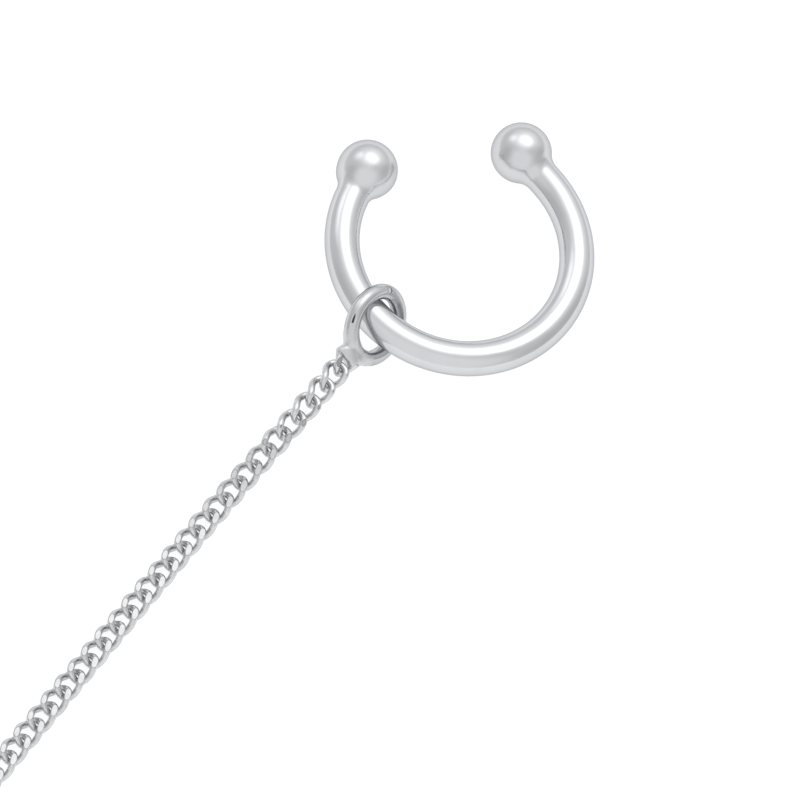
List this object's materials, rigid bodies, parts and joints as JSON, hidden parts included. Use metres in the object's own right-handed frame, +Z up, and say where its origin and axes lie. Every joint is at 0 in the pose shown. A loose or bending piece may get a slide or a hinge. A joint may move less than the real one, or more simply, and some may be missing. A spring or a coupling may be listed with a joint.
{
  "type": "ear chain earring",
  "caption": "Silver ear chain earring: open ear cuff with ball ends, a hanger ring round its wire, a flat-cut curb chain and a ball stud post.",
  "frame": {"origin": "middle of the cuff's ring, in the plane of the middle line of its wire", "axes": "+Z up from the surface that the earring lies on, +Y towards the gap between the cuff's balls; the cuff lies tilted by 7 degrees, with its low side towards +X and -Y"},
  "size_m": [0.0471, 0.0424, 0.0037],
  "materials": {
    "silver": "polished"
  },
  "bodies": {
    "root": {"ear_cuff": "silver", "hanger_ring": "silver", "link_01": "silver", "link_02": "silver", "link_03": "silver", "link_04": "silver", "link_05": "silver", "link_06": "silver", "link_07": "silver", "link_08": "silver", "link_09": "silver", "link_10": "silver", "link_11": "silver", "link_12": "silver", "link_13": "silver", "link_14": "silver", "link_15": "silver", "link_16": "silver", "link_17": "silver", "link_18": "silver", "link_19": "silver", "link_20": "silver", "link_21": "silver", "link_22": "silver", "link_23": "silver", "link_24": "silver", "link_25": "silver", "link_26": "silver", "link_27": "silver", "link_28": "silver", "link_29": "silver", "link_30": "silver", "ear_post": "silver"}
  },
  "joints": []
}
